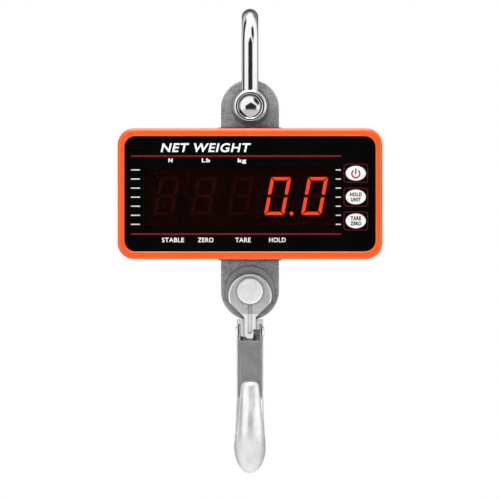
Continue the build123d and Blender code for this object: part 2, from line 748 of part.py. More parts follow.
def seals():
    with BuildPart() as seal:
        with BuildSketch(case_plane(SEAL_T / 2)):
            RectangleRounded(CASE_W - 1.2, CASE_H - 1.2, CORNER_R - 0.6)
            inner = (CASE_W - 2 * WALL, CASE_H - 2 * WALL, CORNER_R - WALL)
            RectangleRounded(*inner, mode=Mode.SUBTRACT)
            Rectangle(SLOT_W, 2 * CASE_H, mode=Mode.SUBTRACT)
        extrude(amount=SEAL_T)
    save("shell_seal", seal)

    for name, side in (("top", 1), ("bottom", -1)):
        wall_z = CASE_Z + side * (CASE_H / 2 - WALL)
        with BuildPart() as grommet:
            with BuildSketch(Plane.XY.offset(wall_z)):
                RectangleRounded(SLOT_W - 0.1, SLOT_D - 0.1, 2.9)
            extrude(amount=side * WALL)
            with BuildSketch(Plane.XY.offset(wall_z + side * WALL)):
                RectangleRounded(SLOT_W + 1.2, SLOT_D + 1.2, 3.5)
            extrude(amount=side * SLOT_LIP)
            with BuildSketch(Plane.XY.offset(wall_z - side)):
                RectangleRounded(PLATE_W, PLATE_T, 1.1)
            extrude(amount=side * (WALL + SLOT_LIP + 3), mode=Mode.SUBTRACT)
        save(f"{name}_grommet", grommet)


# ---- front -----------------------------------------------------------------------------
def front_panel():
    with BuildPart() as panel:
        with BuildSketch(case_plane(PANEL_BACK_Y)):
            RectangleRounded(PANEL_W, PANEL_H, PANEL_R - 0.1)
            with Locations((LENS_X, LENS_DZ)):
                Rectangle(LENS_W, LENS_H, mode=Mode.SUBTRACT)
            for key_dz in KEYS.values():
                with Locations((KEY_X, key_dz)):
                    Ellipse(KEY_W / 2 + KEY_FIT, KEY_H / 2 + KEY_FIT, mode=Mode.SUBTRACT)
        extrude(amount=PANEL_T)
    save("front_panel", panel)

    with BuildPart() as lens:
        with BuildSketch(case_plane(PANEL_BACK_Y - FILM_GAP)):
            with Locations((LENS_X, LENS_DZ)):
                Rectangle(LENS_W - 0.1, LENS_H - 0.1)
        extrude(amount=LENS_T)
    save("display_lens", lens)


def digits():
    """One module per place: a moulded block with a chamfered face."""
    for place, x in enumerate(DIGIT_X, start=1):
        with BuildPart() as digit:
            with BuildSketch(facing(BOARD_Y, x, CASE_Z + DIGIT_DZ)):
                Rectangle(DIGIT_W, DIGIT_H)
            extrude(amount=BOARD_Y - DIGIT_Y)
            chamfer(digit.edges().group_by(Axis.Y)[0], 0.5)
        save(f"digit_{place}", digit)

    leds = []
    for x, dz in UNIT_LEDS + STATUS_LEDS:
        leds.append(post(x, dz, DIGIT_Y + 1.0, BOARD_Y, LED_D / 2))
    save("indicator_leds", *leds)


def keys():
    back_y = CAVITY_Y + FLANGE_T
    stem_end = BOARD_Y - SWITCH_T - 1.5
    for name, dz in KEYS.items():
        with BuildPart() as key:
            with BuildSketch(facing(CAVITY_Y, KEY_X, CASE_Z + dz)):
                Ellipse(KEY_W / 2, KEY_H / 2)
            extrude(amount=CAVITY_Y - PANEL_Y + KEY_PROUD)
            fillet(key.edges().group_by(Axis.Y)[0], 0.4)
            with BuildSketch(facing(back_y, KEY_X, CASE_Z + dz)):
                RectangleRounded(FLANGE_W, FLANGE_H, 3.0)
            extrude(amount=FLANGE_T)
            with BuildSketch(facing(stem_end, KEY_X, CASE_Z + dz)):
                Circle(1.6)
            extrude(amount=stem_end - back_y)
        save(f"{name}_key", key)
        save(f"{name}_plunger", post(KEY_X, dz, stem_end, BOARD_Y - 1.5, PLUNGER_D / 2))


# ---- electronics -----------------------------------------------------------------------
def boards():
    with BuildPart() as board:
        with BuildSketch(case_plane(BOARD_Y + BOARD_T)):
            Rectangle(BOARD_W, BOARD_H)
            for x, dz in BOARD_SCREWS:
                with Locations((x, dz)):
                    Circle(1.4, mode=Mode.SUBTRACT)
        extrude(amount=BOARD_T)
        add(block(MAIN_X, BOARD_Y + BOARD_T + 1.9, 18.0, 24.0, 4.0, 5.0))
    save("display_board", board)

    switches = []
    for dz in KEYS.values():
        with BuildPart() as switch:
            with BuildSketch(facing(BOARD_Y, KEY_X, CASE_Z + dz)):
                Rectangle(SWITCH_SIDE, SWITCH_SIDE)
            extrude(amount=SWITCH_T)
            socket = post(KEY_X, dz, BOARD_Y - SWITCH_T, BOARD_Y - 0.8, PLUNGER_D / 2 + RUNNING)
            add(socket, mode=Mode.SUBTRACT)
        switches.append(switch)
    save("tact_switches", *switches)

    with BuildPart() as main_board:
        with BuildSketch(facing(MAIN_Y + BOARD_T, MAIN_X, CASE_Z)):
            Rectangle(MAIN_W, MAIN_H)
        extrude(amount=BOARD_T)
        for x, dz in MAIN_SCREWS:
            add(post(x, dz, MAIN_Y - 1, MAIN_Y + 3, 1.4), mode=Mode.SUBTRACT)
        add(block(MAIN_X, MAIN_Y - 1.9, 24.0, 24.0, 4.0, 5.0))
        add(block(-46.0, MAIN_Y - 2.4, 12.0, 8.0, 5.0, 6.0))
    save("main_board", main_board)

    chips = [
        block(-66.0, MAIN_Y - 0.75, 2.0, 10.0, 1.5, 10.0),
        block(-52.0, MAIN_Y - 0.75, -4.0, 5.0, 1.5, 6.0),
        block(-52.0, MAIN_Y - 0.75, -16.0, 4.0, 1.5, 5.0),
        block(-76.0, MAIN_Y - 1.5, 10.0, 3.2, 3.0, 8.0),
        post(-62.0, -24.0, MAIN_Y - 9.0, MAIN_Y, 3.2),
    ]
    save("board_chips", *chips)
    save("buzzer", post(-72.0, -12.0, MAIN_Y - 7.0, MAIN_Y, 6.0, 1.0))

    with BuildPart() as ribbon:
        with BuildLine(Plane(origin=(MAIN_X, 0, CASE_Z), x_dir=(0, 1, 0), z_dir=(1, 0, 0))) as route:
            FilletPolyline((-15.7, 18), (-6, 18), (0, 24), (MAIN_Y - 3.9, 24), radius=4.0)
        with BuildSketch(facing(-15.7, MAIN_X, CASE_Z + 18.0)):
            Rectangle(20.0, 1.0)
        sweep(path=route.line)
    save("board_link", ribbon)


# ---- battery ---------------------------------------------------------------------------
def battery():
    tray_front = CELL_Y - CELL_D / 2 - TRAY_WALL - 0.05
    tray_rear = CASE_REAR_Y - REAR_WALL - 0.2
    middle_y = (tray_front + tray_rear) / 2
    with BuildPart() as tray:
        add(block(0, middle_y, 0, TRAY_W, tray_rear - tray_front, TRAY_H))
        inner_w = TRAY_W - 2 * TRAY_WALL
        inner_h = TRAY_H - 2 * TRAY_WALL
        hollow = block(0, middle_y + TRAY_WALL, 0, inner_w, tray_rear - tray_front, inner_h)
        add(hollow, mode=Mode.SUBTRACT)
    save("battery_tray", tray)

    cells = []
    contacts = []
    for dz in CELL_DZ:
        with BuildPart() as cell:
            with BuildSketch(Plane(origin=(-CELL_L / 2, CELL_Y, CASE_Z + dz), z_dir=(1, 0, 0))):
                Circle(CELL_D / 2)
            extrude(amount=CELL_L)
            fillet(cell.edges().group_by(Axis.X)[0], 0.8)
            fillet(cell.edges().group_by(Axis.X)[-1], 0.8)
        cells.append(cell)
        for side in (-1, 1):
            x = side * (CELL_L / 2 + 0.5)
            contacts.append(block(x, CELL_Y, dz, 0.9, 12.0, 12.0))
    save("battery_cells", *cells)
    save("battery_contacts", *contacts)

    with BuildPart() as door:
        with BuildSketch(case_plane(CASE_REAR_Y - 0.1)):
            RectangleRounded(DOOR_W, DOOR_H, 4.0)
        extrude(amount=DOOR_T - 0.1)
        fillet(door.edges().group_by(Axis.Y)[-1], 0.4)
        for x, dz in DOOR_SCREWS:
            add(post(x, dz, CASE_REAR_Y - 3, CASE_REAR_Y + 1, 1.5), mode=Mode.SUBTRACT)
    save("battery_door", door)


# ---- charging --------------------------------------------------------------------------
def charging():
    inner_y = CASE_REAR_Y - REAR_WALL
    with BuildPart() as jack:
        add(post(JACK_X, JACK_DZ, inner_y - 10.0, CASE_REAR_Y - 0.6, 3.95))
        add(post(JACK_X, JACK_DZ, inner_y - 8.0, CASE_REAR_Y, JACK_BORE_D / 2), mode=Mode.SUBTRACT)
    save("charge_jack", jack)

    drop = CAP_HINGE_DZ - JACK_DZ
    with BuildPart() as cap:
        with BuildSketch(facing(CASE_REAR_Y + 1.8, JACK_X, CASE_Z + JACK_DZ)):
            Circle(6.0)
            with Locations((0, drop / 2)):
                Rectangle(12.0, drop)
        extrude(amount=1.6)
        with BuildSketch(sideways(JACK_X - 6.0)):
            with Locations((CAP_HINGE_Y, CASE_Z + CAP_HINGE_DZ)):
                Circle(1.3)
        extrude(amount=12.0)
        with BuildSketch(sideways(JACK_X - 6.0)):
            with Locations((CAP_HINGE_Y, CASE_Z + CAP_HINGE_DZ)):
                Circle(0.6 + RUNNING)
        extrude(amount=12.0, mode=Mode.SUBTRACT)
    save("charge_cap", cap)

    with BuildPart() as hinge_pin:
        with BuildSketch(sideways(JACK_X - 8.3)):
            with Locations((CAP_HINGE_Y, CASE_Z + CAP_HINGE_DZ)):
                Circle(0.6)
        extrude(amount=16.6)
    save("cap_pin", hinge_pin)


# ---- fasteners -------------------------------------------------------------------------
def rear_screw(x, dz, seat_y, length, thread_r, head_r, head_t):
    """Socket screw driven from the rear: its head rests on seat_y, its shank runs forwards."""
    with BuildPart() as screw:
        add(post(x, dz, seat_y - length, seat_y, thread_r))
        add(post(x, dz, seat_y, seat_y + head_t, head_r))
        with BuildSketch(facing(seat_y + head_t, x, CASE_Z + dz)):
            RegularPolygon(head_r * 0.5, 6)
        extrude(amount=head_t * 0.6, mode=Mode.SUBTRACT)
    return screw.part


def screws():
    save("shell_screws", *[rear_screw(x, dz, 22.0, 34.0, 1.5, 2.75, 3.0) for x, dz in CASE_SCREWS])
    save("cell_screws", *[rear_screw(x, dz, 14.0, 12.0, 2.0, 3.5, 4.0) for x, dz in CELL_SCREWS])
    board_seat = BOARD_Y + BOARD_T
    held = [rear_screw(x, dz, board_seat, 6.0, 1.25, 2.2, 1.8) for x, dz in BOARD_SCREWS]
    save("board_screws", *held)
    door_seat = CASE_REAR_Y - 0.1
    save("door_screws", *[rear_screw(x, dz, door_seat, 7.0, 1.25, 2.4, 1.4) for x, dz in DOOR_SCREWS])
    heads = []
    for x, dz in MAIN_SCREWS:
        with BuildPart() as screw:
            add(post(x, dz, MAIN_Y, MAIN_Y + 7.0, 1.25))
            add(post(x, dz, MAIN_Y - 1.8, MAIN_Y, 2.2))
        heads.append(screw)
    save("main_screws", *heads)


def main():
    os.makedirs("parts", exist_ok=True)
    shackle_bow()
    shackle_pin()
    pin_washers("upper", UPPER_PIN_Z, UPPER_PIN_D, 25.0, SHACKLE_GAP)
    pin_washers("lower", LOWER_PIN_Z, LOWER_PIN_D, 34.0, FORK_GAP)
    load_cell()
    gauge_parts()
    cell_cable()
    hook()
    hook_pin()
    latch()
    latch_spring()
    front_shell()
    rear_shell()
    seals()
    front_panel()
    digits()
    keys()
    boards()
    battery()
    charging()
    screws()


main()
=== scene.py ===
"""Looks of the hanging crane scale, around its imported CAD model."""

import json
from math import cos, pi, radians, sin, tan

import bmesh
import bpy
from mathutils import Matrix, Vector


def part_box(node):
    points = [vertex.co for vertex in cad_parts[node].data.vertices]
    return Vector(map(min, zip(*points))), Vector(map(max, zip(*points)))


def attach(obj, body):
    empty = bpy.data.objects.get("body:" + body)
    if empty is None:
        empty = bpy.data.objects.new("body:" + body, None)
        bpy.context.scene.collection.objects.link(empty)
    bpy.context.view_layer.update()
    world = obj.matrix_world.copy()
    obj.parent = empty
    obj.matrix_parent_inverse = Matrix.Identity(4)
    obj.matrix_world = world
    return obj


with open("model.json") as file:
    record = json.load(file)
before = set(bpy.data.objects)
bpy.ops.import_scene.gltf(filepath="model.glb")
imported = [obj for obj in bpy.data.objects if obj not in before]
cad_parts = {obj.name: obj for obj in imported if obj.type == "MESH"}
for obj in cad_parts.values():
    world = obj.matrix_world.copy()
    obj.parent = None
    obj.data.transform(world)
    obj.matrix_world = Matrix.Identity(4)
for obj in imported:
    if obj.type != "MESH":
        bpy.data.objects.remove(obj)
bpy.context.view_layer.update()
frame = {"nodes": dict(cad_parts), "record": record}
nodes = frame["nodes"]

MM = 0.001


def middle(node):
    low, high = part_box(node)
    return (low + high) / 2


# ---- places taken from the CAD model ----------------------------------------------------
PANEL_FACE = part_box("front_panel")[0].y
CASE_Z = middle("front_panel").z
DIGITS = [middle(f"digit_{place}") for place in range(1, 6)]
KEY_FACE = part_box("power_key")[0].y
HOOK_PIN = middle("hook_pin")
INK = 0.04 * MM  # thickness of the print


# ---- materials --------------------------------------------------------------------------
def ramp(tree, source, low, high, low_value=0.0, high_value=1.0):
    made = tree.nodes.new("ShaderNodeMapRange")
    made.inputs["From Min"].default_value = low
    made.inputs["From Max"].default_value = high
    made.inputs["To Min"].default_value = low_value
    made.inputs["To Max"].default_value = high_value
    tree.links.new(source, made.inputs["Value"])
    return made.outputs["Result"]


def noise(tree, vector, scale, detail=4.0, roughness=0.55):
    made = tree.nodes.new("ShaderNodeTexNoise")
    made.inputs["Scale"].default_value = scale
    made.inputs["Detail"].default_value = detail
    made.inputs["Roughness"].default_value = roughness
    tree.links.new(vector, made.inputs["Vector"])
    return made.outputs["Fac"]


def mix(tree, factor, first, second):
    made = tree.nodes.new("ShaderNodeMix")
    made.data_type = "RGBA"
    tree.links.new(factor, made.inputs["Factor"])
    for socket, value in ((made.inputs[6], first), (made.inputs[7], second)):
        if isinstance(value, tuple):
            socket.default_value = (*value, 1.0)
        else:
            tree.links.new(value, socket)
    return made.outputs[2]


def maths(tree, operation, first, second=0.0):
    made = tree.nodes.new("ShaderNodeMath")
    made.operation = operation
    for socket, value in ((made.inputs[0], first), (made.inputs[1], second)):
        if isinstance(value, (int, float)):
            socket.default_value = value
        else:
            tree.links.new(value, socket)
    return made.outputs[0]


EDGE_START = 0.985  # cosine of the turn between true and rounded normal where the lighter edge, part wear and part painted highlight, starts
EDGE_FULL = 0.85
WEAR_HIGHLIGHT_SCALE = 260.0
WEAR_HIGHLIGHT_LOW = 0.25  # least edge lightening left on an edge between two patches
CAVITY_SHADE = (0.35, 0.95)  # openness of full and of no shade
COAT_ROUGHNESS = 0.12
RING_HEIGHT = 0.5


def edge_mask(tree, radius):
    """1 along sharp edges, 0 on open faces."""
    bevel = tree.nodes.new("ShaderNodeBevel")
    bevel.samples = 4
    bevel.inputs["Radius"].default_value = radius
    plain = tree.nodes.new("ShaderNodeNewGeometry")
    dot = tree.nodes.new("ShaderNodeVectorMath")
    dot.operation = "DOT_PRODUCT"
    tree.links.new(bevel.outputs["Normal"], dot.inputs[0])
    tree.links.new(plain.outputs["Normal"], dot.inputs[1])
    return ramp(tree, dot.outputs["Value"], EDGE_START, EDGE_FULL)


def surface(
    name,
    colour,
    second,
    metallic=0.0,
    mottle_scale=60.0,
    mottle=(0.35, 0.65),
    rough=(0.3, 0.45),
    rough_scale=150.0,
    grain_scale=900.0,
    grain=0.2,
    depth=0.05,
    edge_wear_highlight=None,
    edge_wear_highlight_radius=0.6,
    speckle=None,
    recess_shade=None,
    rings=None,
    coat=0.0,
    specular=0.5,
    alpha=1.0,
    emission=None,
):
    """A finish with mottled colour, uneven gloss and a fine raised grain. Lengths in mm.

    mottle and the two levels of speckle are where the noise turns from one colour to the
    other. speckle is (colour, scale, low, high), recess_shade is (colour, reach, share) and
    paints shade into recesses and gaps between parts, rings is (centre, pitch) of turned
    rings, emission is (colour, strength).
    """
    made = bpy.data.materials.new(name)
    made.use_nodes = True
    tree = made.node_tree
    shader = tree.nodes["Principled BSDF"]
    place = tree.nodes.new("ShaderNodeTexCoord").outputs["Object"]
    blotch = ramp(tree, noise(tree, place, mottle_scale, 5.0), *mottle)
    paint = mix(tree, blotch, colour, second)
    if speckle:
        speckle_colour, speckle_scale, low, high = speckle
        spots = ramp(tree, noise(tree, place, speckle_scale, 2.0, 0.7), low, high)
        paint = mix(tree, spots, paint, speckle_colour)
    # sharp edges turn lighter: partly real edge wear, partly a painted highlight where edges catch
    # the light
    if edge_wear_highlight:
        worn_and_lit = maths(tree, "MULTIPLY", edge_mask(tree, edge_wear_highlight_radius * MM), ramp(
            tree, noise(tree, place, WEAR_HIGHLIGHT_SCALE, 3.0), 0.3, 0.6, WEAR_HIGHLIGHT_LOW, 1.0))
        paint = mix(tree, worn_and_lit, paint, edge_wear_highlight)
    # painted shade: where ambient occlusion finds other surfaces close, in recesses and between
    # parts, the colour turns darker
    if recess_shade:
        recess_shade_colour, reach, share = recess_shade
        near = tree.nodes.new("ShaderNodeAmbientOcclusion")
        near.samples = 8
        near.inputs["Distance"].default_value = reach * MM
        shade = ramp(tree, near.outputs["AO"], *CAVITY_SHADE, share, 0.0)
        paint = mix(tree, shade, paint, recess_shade_colour)
    tree.links.new(paint, shader.inputs["Base Color"])

    gloss = ramp(tree, noise(tree, place, rough_scale, 4.0), 0.3, 0.7, *rough)
    tree.links.new(gloss, shader.inputs["Roughness"])

    height = noise(tree, place, grain_scale, 3.0, 0.6)
    if rings:
        centre, pitch = rings
        shifted = tree.nodes.new("ShaderNodeVectorMath")
        shifted.operation = "SUBTRACT"
        shifted.inputs[1].default_value = centre
        tree.links.new(place, shifted.inputs[0])
        split = tree.nodes.new("ShaderNodeSeparateXYZ")
        tree.links.new(shifted.outputs["Vector"], split.inputs[0])
        across = maths(tree, "MULTIPLY", split.outputs["X"], split.outputs["X"])
        up = maths(tree, "MULTIPLY", split.outputs["Z"], split.outputs["Z"])
        radius = maths(tree, "SQRT", maths(tree, "ADD", across, up))
        wave = maths(tree, "SINE", maths(tree, "MULTIPLY", radius, 2 * pi / (pitch * MM)))
        height = maths(tree, "ADD", height, maths(tree, "MULTIPLY", wave, RING_HEIGHT))
    bump = tree.nodes.new("ShaderNodeBump")
    bump.inputs["Strength"].default_value = grain
    bump.inputs["Distance"].default_value = depth * MM
    tree.links.new(height, bump.inputs["Height"])
    tree.links.new(bump.outputs["Normal"], shader.inputs["Normal"])

    shader.inputs["Metallic"].default_value = metallic
    shader.inputs["Specular IOR Level"].default_value = specular
    shader.inputs["Coat Weight"].default_value = coat
    shader.inputs["Coat Roughness"].default_value = COAT_ROUGHNESS
    shader.inputs["Alpha"].default_value = alpha
    if emission:
        shader.inputs["Emission Color"].default_value = (*emission[0], 1.0)
        shader.inputs["Emission Strength"].default_value = emission[1]
    return made


# the recess colours in these finishes are painted shade in hollows and between parts
finishes = {
    "chrome": surface(
        "chrome", (0.88, 0.88, 0.88), (0.79, 0.79, 0.79), 1.0, 40, rough=(0.08, 0.15),
        rough_scale=220, grain_scale=500, grain=0.10, depth=0.02,
        recess_shade=((0.10, 0.10, 0.10), 1.6, 0.9),
    ),
    "nylon": surface(
        "nylon", (0.36, 0.36, 0.36), (0.29, 0.29, 0.29), 0.0, 90, rough=(0.45, 0.6),
        grain_scale=1200, grain=0.3, speckle=((0.2, 0.2, 0.2), 1100, 0.52, 0.68),
        recess_shade=((0.03, 0.03, 0.03), 1.8, 0.95),
    ),
    "blasted_steel": surface(
        "blasted_steel", (0.40, 0.40, 0.40), (0.31, 0.31, 0.31), 0.25, 120,
        rough=(0.5, 0.7), rough_scale=700, grain_scale=1400, grain=0.9, depth=0.2,
        speckle=((0.14, 0.14, 0.14), 1250, 0.50, 0.64), edge_wear_highlight=(0.70, 0.70, 0.70),
        recess_shade=((0.03, 0.03, 0.03), 1.8, 0.85),
    ),
    "cover_steel": surface(
        "cover_steel", (0.55, 0.55, 0.56), (0.45, 0.45, 0.46), 1.0, 80, rough=(0.3, 0.45),
    ),
    "gauge_foil": surface(
        "gauge_foil", (0.55, 0.30, 0.07), (0.42, 0.22, 0.05), 0.3, 300, rough=(0.3, 0.4),
    ),
    "cable_jacket": surface(
        "cable_jacket", (0.03, 0.03, 0.032), (0.05, 0.05, 0.052), 0.0, 200,
        rough=(0.45, 0.6),
    ),
    # the white edges of the forging are partly wear and partly painted highlight
    "forged_steel": surface(
        "forged_steel", (0.95, 0.95, 0.95), (0.78, 0.78, 0.785), 0.64, 75,
        mottle=(0.36, 0.74), rough=(0.26, 0.40), rough_scale=110, grain_scale=420,
        grain=0.40, depth=0.10, edge_wear_highlight=(1.0, 1.0, 1.0), edge_wear_highlight_radius=1.4,
        speckle=((0.55, 0.55, 0.56), 1600, 0.54, 0.85),
        recess_shade=((0.07, 0.07, 0.07), 1.8, 0.95),
    ),
    "pin_steel": surface(
        "pin_steel", (0.94, 0.93, 0.94), (0.80, 0.795, 0.805), 0.25, 150, rough=(0.2, 0.32),
        grain_scale=900, grain=0.5, depth=0.05, rings=(HOOK_PIN, 0.9), edge_wear_highlight=(1.0, 1.0, 1.0),
        recess_shade=((0.06, 0.06, 0.06), 1.2, 0.8),
    ),
    "spring_steel": surface(
        "spring_steel", (0.45, 0.44, 0.42), (0.33, 0.32, 0.31), 1.0, 250,
        rough=(0.25, 0.4),
    ),
    # the white bent edges of the latch are partly wear and partly painted highlight
    "latch_steel": surface(
        "latch_steel", (0.33, 0.33, 0.335), (0.25, 0.25, 0.255), 0.8, 130,
        rough=(0.36, 0.5), rough_scale=300, grain_scale=1100, grain=0.45, depth=0.06,
        speckle=((0.22, 0.22, 0.23), 1000, 0.54, 0.7), edge_wear_highlight=(1.0, 1.0, 1.0),
        edge_wear_highlight_radius=1.0, recess_shade=((0.05, 0.05, 0.05), 2.5, 0.7),
    ),
    # the light orange along the case's rounded edges is mostly a painted highlight, with a little
    # edge wear
    "case_orange": surface(
        "case_orange", (0.88, 0.092, 0.0055), (0.85, 0.084, 0.005), 0.0, 45,
        rough=(0.28, 0.38), rough_scale=500, grain_scale=1900, grain=0.18, depth=0.03,
        edge_wear_highlight=(1.0, 0.20, 0.04), edge_wear_highlight_radius=1.0, coat=0.3, specular=0.3,
        recess_shade=((0.20, 0.012, 0.001), 1.5, 0.9),
    ),
    "seal_rubber": surface(
        "seal_rubber", (0.10, 0.10, 0.10), (0.14, 0.14, 0.14), 0.0, 150,
        rough=(0.55, 0.75), grain_scale=1200, grain=0.35,
    ),
    "panel_black": surface(
        "panel_black", (0.0012, 0.0012, 0.0014), (0.002, 0.002, 0.0022), 0.0, 60,
        rough=(0.05, 0.10), rough_scale=90, grain_scale=1200, grain=0.03, depth=0.01,
        specular=0.25,
    ),
    "lens_red": surface(
        "lens_red", (0.006, 0.0006, 0.0004), (0.010, 0.001, 0.0006), 0.0, 60,
        rough=(0.04, 0.08), rough_scale=90, grain=0.02, depth=0.01, specular=0.2,
        alpha=0.36,
    ),
    "key_white": surface(
        "key_white", (0.84, 0.83, 0.82), (0.76, 0.755, 0.75), 0.0, 120,
        rough=(0.38, 0.5), grain_scale=1500, grain=0.12, depth=0.03,
    ),
    "switch_black": surface(
        "switch_black", (0.02, 0.02, 0.02), (0.035, 0.035, 0.035), 0.0, 200,
        rough=(0.4, 0.55),
    ),
    "switch_steel": surface(
        "switch_steel", (0.6, 0.6, 0.61), (0.5, 0.5, 0.51), 1.0, 200, rough=(0.25, 0.4),
    ),
    "led_red": surface(
        "led_red", (0.05, 0.004, 0.003), (0.035, 0.003, 0.002), 0.0, 300,
        rough=(0.15, 0.25),
    ),
    "digit_grey": surface(
        "digit_grey", (0.0032, 0.0011, 0.0009), (0.0042, 0.0014, 0.0011), 0.0, 150,
        rough=(0.55, 0.7), grain=0.1,
    ),
    "board_green": surface(
        "board_green", (0.012, 0.12, 0.045), (0.02, 0.16, 0.06), 0.0, 350,
        rough=(0.3, 0.4), grain_scale=600, grain=0.3, speckle=((0.25, 0.2, 0.06), 420, 0.62, 0.66),
    ),
    "chip_black": surface(
        "chip_black", (0.015, 0.015, 0.016), (0.025, 0.025, 0.026), 0.0, 300,
        rough=(0.5, 0.65),
    ),
    "ribbon_grey": surface(
        "ribbon_grey", (0.36, 0.37, 0.38), (0.28, 0.29, 0.30), 0.0, 500,
        rough=(0.4, 0.5),
    ),
    "tray_black": surface(
        "tray_black", (0.018, 0.018, 0.019), (0.028, 0.028, 0.03), 0.0, 150,
        rough=(0.45, 0.6), grain_scale=1500, grain=0.3,
    ),
    "cell_wrap": surface(
        "cell_wrap", (0.05, 0.16, 0.42), (0.04, 0.13, 0.36), 0.0, 120, rough=(0.2, 0.32),
    ),
    "screw_steel": surface(
        "screw_steel", (0.52, 0.52, 0.54), (0.40, 0.40, 0.42), 1.0, 250,
        rough=(0.22, 0.38), grain_scale=700, grain=0.3, edge_wear_highlight=(0.8, 0.8, 0.8), edge_wear_highlight_radius=0.3,
    ),
}
ink_white = surface(
    "ink_white", (0.90, 0.90, 0.90), (0.80, 0.80, 0.80), 0.0, 500, rough=(0.45, 0.6),
    grain_scale=2500, grain=0.1,
)
ink_red = surface(
    "ink_red", (0.21, 0.010, 0.016), (0.17, 0.008, 0.012), 0.0, 500, rough=(0.45, 0.6),
    grain_scale=2500, grain=0.1, specular=0.05,
)
ink_black = surface(
    "ink_black", (0.012, 0.012, 0.013), (0.022, 0.022, 0.023), 0.0, 500,
    rough=(0.45, 0.6), grain_scale=2500, grain=0.1, specular=0.1,
)
ink_mark = surface(
    "ink_mark", (0.34, 0.010, 0.022), (0.28, 0.008, 0.018), 0.0, 500, rough=(0.45, 0.6),
    grain_scale=2500, grain=0.1, specular=0.05,
)
ink_pale = surface(
    "ink_pale", (0.62, 0.62, 0.62), (0.52, 0.52, 0.52), 0.0, 500, rough=(0.45, 0.6),
    grain_scale=2500, grain=0.1,
)
segment_lit = surface(
    "segment_lit", (0.5, 0.03, 0.01), (0.4, 0.02, 0.008), 0.0, 300, rough=(0.4, 0.5),
    emission=((1.0, 0.052, 0.006), 2.6),
)
segment_dark = surface(
    "segment_dark", (0.055, 0.0060, 0.0050), (0.046, 0.0050, 0.0042), 0.0, 300,
    rough=(0.5, 0.6), specular=0.1,
)
display_dark = surface(
    "display_dark", (0.0036, 0.0008, 0.0005), (0.0046, 0.0010, 0.0006), 0.0, 60,
    rough=(0.6, 0.75), grain=0.1, specular=0.1,
)
ink_wine = surface(
    "ink_wine", (0.115, 0.006, 0.010), (0.09, 0.005, 0.008), 0.0, 500, rough=(0.45, 0.6),
    grain_scale=2500, grain=0.1, specular=0.05,
)

for name, cad in nodes.items():
    slot = next((row["slot"] for row in frame["record"]["materials"]
                 if name in row.get("nodes", [])), None)
    for index, held in enumerate(cad.data.materials):
        label = held.name.split(".")[0] if held else slot
        cad.data.materials[index] = finishes.get(label) or finishes[slot]

for name in ("front_shell", "rear_shell"):  # soft studio light puts no orange on the steel
    nodes[name].visible_glossy = False
    nodes[name].visible_diffuse = False


# ---- flat printed shapes ------------------------------------------------------------------
def keep(name, mesh, material, body):
    made = bpy.data.objects.new(name, mesh)
    bpy.context.scene.collection.objects.link(made)
    mesh.materials.clear()
    mesh.materials.append(material)
    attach(made, body)


def printed(name, shapes, face, material, body="scale", thickness=INK):
    """Raised flat shapes standing on the plane Y = face. A shape is an outline, or an outline
    and a hole of as many points, each a list of (X, Z) in metres."""
    work = bmesh.new()
    for shape in shapes:
        outline, hole = shape if isinstance(shape, tuple) else (shape, None)
        rows = []
        for loop in (outline, hole):
            if loop is None:
                continue
            rows.append([[work.verts.new((x, y, z)) for x, z in loop]
                         for y in (face - thickness, face)])
        count = len(outline)
        for index in range(count):
            after = (index + 1) % count
            front, back = rows[0]
            work.faces.new((front[index], front[after], back[after], back[index]))
            if hole:
                inner_front, inner_back = rows[1]
                work.faces.new((inner_front[after], inner_front[index],
                                inner_back[index], inner_back[after]))
                work.faces.new((front[after], front[index],
                                inner_front[index], inner_front[after]))
                work.faces.new((back[index], back[after],
                                inner_back[after], inner_back[index]))
        if not hole:
            work.faces.new(rows[0][0])
            work.faces.new(list(reversed(rows[0][1])))
    bmesh.ops.recalc_face_normals(work, faces=work.faces)
    mesh = bpy.data.meshes.new(name)
    work.to_mesh(mesh)
    work.free()
    keep(name, mesh, material, body)


def bar(x0, x1, z0, z1):
    return [(x0, z0), (x1, z0), (x1, z1), (x0, z1)]


def rounded(x, z, width, height, radius, steps=6):
    points = []
    for sx, sz, start in ((1, 1, 0), (-1, 1, 90), (-1, -1, 180), (1, -1, 270)):
        for step in range(steps + 1):
            turn = radians(start + 90 * step / steps)
            points.append((x + sx * (width / 2 - radius) + radius * cos(turn),
                           z + sz * (height / 2 - radius) + radius * sin(turn)))
    return points


def frame_line(x, z, width, height, radius, line):
    return (rounded(x, z, width, height, radius),
            rounded(x, z, width - 2 * line, height - 2 * line, radius - line))


def lettering(name, text, x, z, cap, width, face, material, body="scale",
              slant=0.0, bold=0.012, spread=1.08, thickness=INK):
    """Plain lettering, cap metres high and width metres wide, centred on (x, z)."""
    curve = bpy.data.curves.new(name, "FONT")
    curve.body = text
    curve.offset = bold
    curve.space_character = spread
    curve.extrude = 0.5
    curve.resolution_u = 6
    holder = bpy.data.objects.new(name, curve)
    bpy.context.scene.collection.objects.link(holder)
    bpy.context.view_layer.update()
    mesh = bpy.data.meshes.new_from_object(
        holder.evaluated_get(bpy.context.evaluated_depsgraph_get()))
    bpy.data.objects.remove(holder)
    points = [v.co.copy() for v in mesh.vertices]
    low = [min(p[axis] for p in points) for axis in range(3)]
    high = [max(p[axis] for p in points) for axis in range(3)]
    for vertex, point in zip(mesh.vertices, points):
        u = (point[0] - low[0]) / (high[0] - low[0]) - 0.5
        v = (point[1] - low[1]) / (high[1] - low[1]) - 0.5
        w = (point[2] - low[2]) / (high[2] - low[2])
        vertex.co = (x + u * width + v * cap * slant, face - w * thickness, z + v * cap)
    mesh.update()
    keep(name, mesh, material, body)


